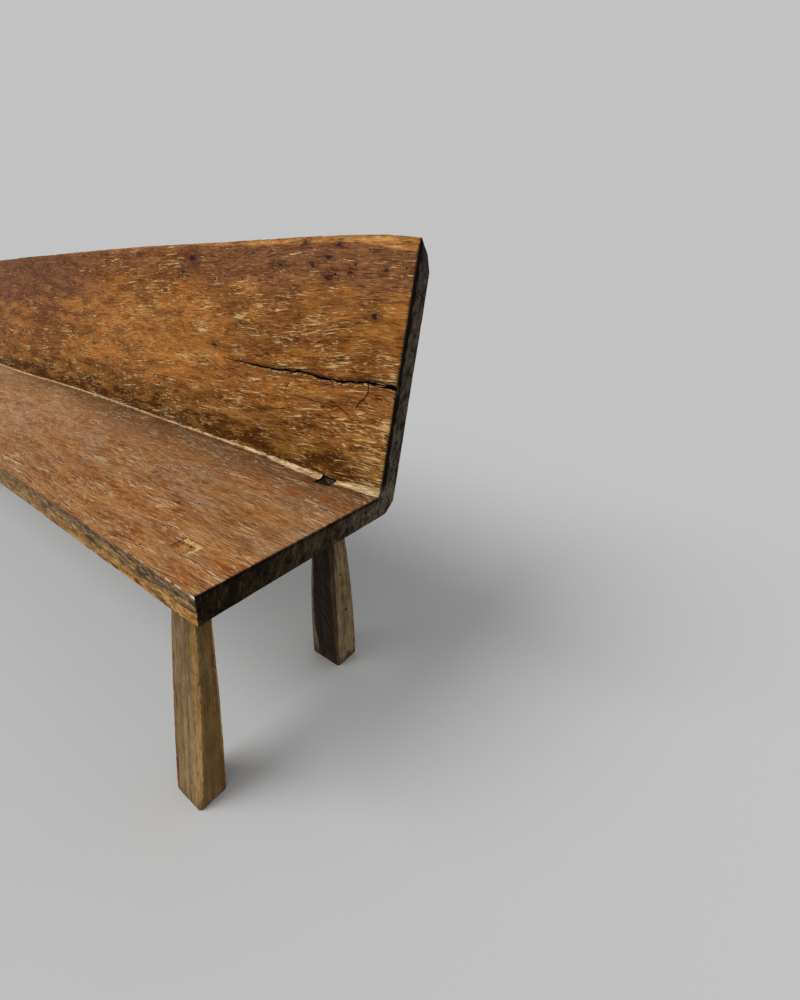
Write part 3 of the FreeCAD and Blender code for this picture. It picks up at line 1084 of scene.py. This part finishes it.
def makeLegWood(kind):
    c = legWoods[kind]
    material, tree, shader = newMaterial(kind + "LegWood")
    stave = given(tree, "ShaderNodeAttribute", "Vector", attribute_name="stave")
    where = given(tree, "ShaderNodeTexCoord", "Object")
    local = axes(stave)
    body = axes(where)
    across = abs(axes(given(tree, "ShaderNodeNewGeometry", "True Normal"))[0])
    outward = local[0] * swing(ease(body[0], -0.1, 0.1), 1.0)
    streaks = ease(cloud(stave, (150, 150, 5), 4, 0.68, 0.3), 0.38, 0.62)
    hair = ease(cloud(stave, (420, 420, 22), 3, 0.7), 0.36, 0.64)
    broad = ease(cloud(stave, (44, 44, 6), 4, 0.64, 0.5), 0.4, 0.6)
    mottle = ease(cloud(where, (70, 70, 32), 4, 0.7, 0.4), 0.4, 0.6)
    speck = cloud(where, (430, 430, 220), 3, 0.65)
    onSide = ease(across, 0.86, 0.93)
    onFace = ease(across, 0.3, 0.14)
    onArris = ease(across, 0.2, 0.34) * ease(across, 0.95, 0.86)
    place = outward + swing(broad, 0.004)
    zones = [
        (ease(place, -0.019, -0.025) * onFace, c["inner"]),
        (ease(place, 0.023, 0.028) * onFace, c["outer"]),
        (onSide, c["side"]),
        (onArris * 0.9 * ease(outward, -0.01, 0.01), c["arris"]),
        (onArris * 0.9 * ease(outward, 0.01, -0.01), c["inner"]),
        # the tops of the legs darken under the seat: painted shade
        (ease(local[2], underside - 0.11, underside - 0.005) * 0.7, c["top"]),
        (ease(local[2] + mottle * 0.02, 0.05, 0.012) * 0.7, c["foot"]),
    ]
    # for the back legs the near-black face and outer tones are painted shade of the seat
    dark, pale = zoned(c["face"], zones)
    level = streaks * 0.34 + broad * 0.2 + hair * 0.2 + mottle * 0.26
    colour = mixed(level, dark, pale)
    groove = between(place, 0.0115, 0.014, 0.0012) * onFace * c["groove"] * ease(hair, 0.1, 0.7)
    slant = joined(local[2] * 0.6 + local[0], local[2])
    hatch = ease(cloud(slant, (330, 12, 1), 2, 0.6), 0.54, 0.62) * onFace * c["hatch"]
    colour = laid(colour, [
        (ease(speck, 0.6, 0.68) * 0.45, c["dark"]),
        (hatch, c["inner"][0]),
        (groove, c["dark"]),
    ])
    holes = 0.0
    fray = swing(speck, 0.001)
    for spotsOn, side, mask in ((c["faceHoles"], outward, onFace), (c["sideHoles"], local[1], onSide)):
        if spotsOn:
            point = joined(side, local[2] * 0.7)
            found = spots(point, [(x, z * 0.7, size) for x, z, size in spotsOn], 0.0028, fray)
            holes = most(holes, found * mask)
    colour = mixed(holes, colour, (8, 5, 4))
    height = streaks + hair * 0.4 + mottle * 0.4 - (groove + holes)
    finishSurface(shader, colour, 0.8, height, 0.9 * mm, 0.05)
    return material


tenonWoods = {
    # dark tone, pale tone and marks
    "tenon": ((138, 88, 36), (206, 150, 84), (66, 36, 14)),
    "wedge": ((176, 132, 68), (240, 204, 142), (112, 70, 30)),
    "rearTenon": ((16, 11, 6), (60, 48, 32), (8, 5, 4)),
    "rearWedge": ((42, 36, 24), (100, 92, 66), (16, 12, 8)),
}

# the front tenon's inner side is splintered and brown, and a dark crescent of painted shadow lies where the
# wedge begins
tenonMarks = {
    "brownTo": 0.9345, "brown": ((110, 60, 22), (176, 120, 72)),
    "crescent": (0.945, -0.1625), "crescentSize": 5.5 * mm,
}


def makeTenonWood(kind):
    dark, pale, mark = tenonWoods[kind]
    material, tree, shader = newMaterial(kind + "End")
    where = given(tree, "ShaderNodeTexCoord", "Object")
    rings = ease(cloud(where, (80, 120, 30), 4, 0.65, 1.2), 0.38, 0.62)
    grain = ease(cloud(where, (200, 460, 200), 3, 0.7), 0.38, 0.62)
    speck = ease(cloud(where, (460, 460, 200), 3, 0.6, offset=(2, 2, 2)), 0.58, 0.66)
    level = rings * 0.5 + grain * 0.5
    colour = mixed(level, dark, pale)
    colour = mixed(speck * 0.7, colour, mark)
    if kind == "tenon":
        m = tenonMarks
        body = axes(where)
        out = abs(body[0])
        ragged = swing(grain, 0.003)
        brown = mixed(level, *m["brown"])
        colour = mixed(ease(out + ragged, m["brownTo"] + 0.001, m["brownTo"] - 0.001), colour, brown)
        # the crescent is a painted shadow at the foot of the wedge
        spot = joined(out, body[1] * 1.8)
        x, y = m["crescent"]
        gap = spots(spot, [(x, y * 1.8, 1.0)], m["crescentSize"], ragged)
        colour = mixed(gap * 0.85, colour, mark)
    finishSurface(shader, colour, 0.85, grain - speck, 0.7 * mm, 0.04)
    return material


print("mixing the woods")
trunkWoods = [makeFaceWood(), makeEdgeWood(), makeRoughWood(), makeEndWood(), *map(makeHoleWood, holeWoodAndShade)]

print("cutting mortises and worm holes")
for material in trunkWoods:
    trunkMesh.materials.append(material)
rawTrunk = placed(trunkMesh, "rawTrunk")
cutters = placed(cutterMesh(), "cutters")
cut = rawTrunk.modifiers.new("cut", "BOOLEAN")
cut.operation = "DIFFERENCE"
cut.solver = "EXACT"
cut.object = cutters
cut.material_mode = "INDEX"
trunkMesh = plainMesh(rawTrunk, "seat_and_back_dressed")
bpy.data.objects.remove(rawTrunk)
bpy.data.objects.remove(cutters)
shadeWood(trunkMesh)
seatAndBack = placed(trunkMesh, "seat_and_back_dressed")
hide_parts("hewn_seat_and_back")
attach(seatAndBack, "root")
print("trunk cut:", len(trunkMesh.polygons), "faces")


# Lifted fibres: pale slivers scattered over the seat and back where the grain is torn

fibres = {
    # the inputs of the node tree that scatters them
    "perSquareMetre": 5200.0, "seed": 7,
    "shortest": 8 * mm, "longest": 24 * mm, "narrowest": 0.5 * mm, "widest": 1.2 * mm, "thickness": 0.5 * mm,
    "turn": 0.2, "tilt": 0.02,           # radians either way
}
fibreWood = {"light": (212, 172, 122), "deep": (132, 86, 42)}
clearOfEdges = 14 * mm


def addTorn(mesh):
    # how torn the grain is at each point of the seat and back, 0 to 1
    torn = mesh.attributes.new("torn", "FLOAT", "POINT")
    onFace = {i for p in mesh.polygons if p.material_index == faceKind for i in p.vertices}
    edge = {i for p in mesh.polygons if p.material_index != faceKind for i in p.vertices}
    tree = KDTree(len(edge))
    for i in edge:
        tree.insert(mesh.vertices[i].co, i)
    tree.balance()
    for i in onFace:
        co = mesh.vertices[i].co
        if tree.find(co)[2] < clearOfEdges:
            continue
        herd = noise.noise(Vector((co.x * 10, co.y * 26, co.z * 26))) + 0.5 * noise.noise(co * 45)
        above = co.z - seatTop
        calm = 0.3 if above > 0.31 else 1.0
        torn.data[i].value = calm * max(0.0, min(1.0, herd * 2.6 - 0.2))


def fibreTree(material):
    tree = bpy.data.node_groups.new("liftedFibres", "GeometryNodeTree")
    tree.interface.new_socket("Geometry", in_out="OUTPUT", socket_type="NodeSocketGeometry")
    tree.interface.new_socket("Geometry", in_out="INPUT", socket_type="NodeSocketGeometry")
    for name, value in fibres.items():
        kind = "NodeSocketInt" if isinstance(value, int) else "NodeSocketFloat"
        tree.interface.new_socket(name, in_out="INPUT", socket_type=kind)
    wanted = {socket.name: Value(socket) for socket in tree.nodes.new("NodeGroupInput").outputs}

    def chance(low, high, step):
        return Value(addNode(tree, "FunctionNodeRandomValue", {2: low, 3: high, 8: step}).outputs[1])

    torn = given(tree, "GeometryNodeInputNamedAttribute", 0, {"Name": "torn"}, data_type="FLOAT")
    points = addNode(tree, "GeometryNodeDistributePointsOnFaces",
                     {"Mesh": wanted["Geometry"], "Density": torn * wanted["perSquareMetre"],
                      "Seed": wanted["seed"]}, distribute_method="RANDOM").outputs
    sliver = given(tree, "GeometryNodeMeshUVSphere", "Mesh", {"Segments": 4, "Rings": 2, "Radius": 0.5})
    along = worked("FunctionNodeAlignRotationToVector",
                   {"Rotation": Value(points["Rotation"]), "Vector": (1.0, 0.0, 0.0)},
                   axis="X", pivot_axis="Z")
    turn = joined(0.0, chance(-1.0, 1.0, 2) * wanted["tilt"], chance(-1.0, 1.0, 3) * wanted["turn"])
    turned = worked("FunctionNodeRotateRotation",
                    {"Rotation": along, "Rotate By": worked("FunctionNodeEulerToRotation", {0: turn})},
                    rotation_space="LOCAL")
    size = joined(chance(wanted["shortest"], wanted["longest"], 4),
                  chance(wanted["narrowest"], wanted["widest"], 5), wanted["thickness"])
    slivers = worked("GeometryNodeInstanceOnPoints", {"Points": Value(points["Points"]), "Instance": sliver,
                                                      "Rotation": turned, "Scale": size})
    real = worked("GeometryNodeRealizeInstances", {"Geometry": slivers})
    dressed = worked("GeometryNodeSetMaterial", {"Geometry": real, "Material": material})
    addNode(tree, "NodeGroupOutput", {0: dressed})
    return tree


def makeFibreWood():
    material, tree, shader = newMaterial("liftedFibreWood")
    where = given(tree, "ShaderNodeTexCoord", "Object")
    shade = ease(cloud(where, (60, 160, 160), 3, 0.7), 0.35, 0.65)
    grain = cloud(where, (160, 1800, 1800), 2, 0.6)
    colour = mixed(shade * 0.7 + grain * 0.3, fibreWood["deep"], fibreWood["light"])
    finishSurface(shader, colour, 0.75, grain, 0.3 * mm, 0.15)
    return material


def scatterFibres():
    addTorn(trunkMesh)
    mesh = trunkMesh.copy()
    thing = placed(mesh, "lifted_fibres")
    tree = fibreTree(makeFibreWood())
    scatter = thing.modifiers.new("fibres", "NODES")
    scatter.node_group = tree
    for item in tree.interface.items_tree:
        if item.name in fibres:
            scatter[item.identifier] = fibres[item.name]
    thing.data = plainMesh(thing, "lifted_fibres")
    bpy.data.meshes.remove(mesh)
    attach(thing, "root")
    print("lifted fibres:", len(thing.data.polygons) // 8)


scatterFibres()


# Legs and wedges, from the solids themselves, diced fine and worn

leg = {"steps": (6 * mm, 6 * mm, 5 * mm), "wear": 0.9 * mm, "chip": 2.2 * mm, "relief": 0.5 * mm}
wedge = {"steps": (2.5 * mm, 2.5 * mm, 8 * mm), "wear": 0.4 * mm, "chip": 0.9 * mm, "relief": 0.25 * mm}


def diced(name, steps):
    bm = bmesh.new()
    bm.from_mesh(nodes[name].data)
    bmesh.ops.remove_doubles(bm, verts=bm.verts, dist=0.01 * mm)
    low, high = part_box(name)
    for axis in range(3):
        place = low[axis] + steps[axis] * 0.7
        normal = Vector((0, 0, 0))
        normal[axis] = 1
        while place < high[axis] - steps[axis] * 0.4:
            point = Vector((0, 0, 0))
            point[axis] = place
            everything = bm.verts[:] + bm.edges[:] + bm.faces[:]
            bmesh.ops.bisect_plane(bm, geom=everything, dist=0.02 * mm, plane_co=point, plane_no=normal)
            place += steps[axis]
    mesh = bpy.data.meshes.new(name + "_dressed")
    bm.to_mesh(mesh)
    bm.free()
    return mesh


def addStave(mesh):
    # place of each point from the leg's own middle line, so that the grain follows the leg
    spots = np.array([v.co for v in mesh.vertices])
    levels = np.linspace(spots[:, 2].min(), spots[:, 2].max(), 30)
    reach = levels[1] - levels[0]
    middles = []
    for level in levels:
        near = spots[np.abs(spots[:, 2] - level) < reach]
        middles.append((near.min(axis=0) + near.max(axis=0))[:2] / 2)
    middles = np.array(middles)
    stave = spots.copy()
    for axis in (0, 1):
        stave[:, axis] -= np.interp(spots[:, 2], levels, middles[:, axis])
    layer = mesh.attributes.new("stave", "FLOAT_VECTOR", "POINT")
    layer.data.foreach_set("vector", stave.ravel())


def dressLeg(place):
    name = place + "_leg"
    mesh = diced(name, leg["steps"])
    seed = places.index(place) * 3.7

    def relief(co, normal, kind):
        hewing = noise.noise(Vector((co.x * 26, co.y * 26, co.z * 9 + seed)))
        depth = leg["relief"] * 0.5 * (1 + hewing)
        if co.z > underside + mm:
            return min(depth, 0.15 * mm)
        return depth

    addStave(mesh)
    roughen(mesh, leg["wear"], leg["chip"], seed, relief, radians(18))
    kind = place.split("_")[0]
    mesh.materials.append(legWoodOf[kind])
    mesh.materials.append(tenonWoodOf["tenon" if kind == "front" else "rearTenon"])
    for polygon in mesh.polygons:
        polygon.material_index = int(polygon.center.z > underside + 2 * mm)   # 1 is the tenon
    shadeWood(mesh, 30)
    thing = placed(mesh, name + "_dressed")
    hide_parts(name)
    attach(thing, "root")


def dressWedge(place, which):
    name = place + "_" + which
    mesh = diced(name, wedge["steps"])
    seed = places.index(place) * 5.1 + len(which)

    def relief(co, normal, kind):
        return wedge["relief"] * (1 + noise.noise(co * 260 + Vector((seed, 0, 0))))

    roughen(mesh, wedge["wear"], wedge["chip"], seed, relief, radians(30))
    kind = place.split("_")[0]
    mesh.materials.append(tenonWoodOf["wedge" if kind == "front" else "rearWedge"])
    shadeWood(mesh, 30)
    thing = placed(mesh, name + "_dressed")
    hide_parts(name)
    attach(thing, "root")


legWoodOf = {kind: makeLegWood(kind) for kind in legWoods}
tenonWoodOf = {kind: makeTenonWood(kind) for kind in tenonWoods}
for place in places:
    dressLeg(place)
    for which in wedges[place]:
        dressWedge(place, which)
print("legs and wedges dressed")
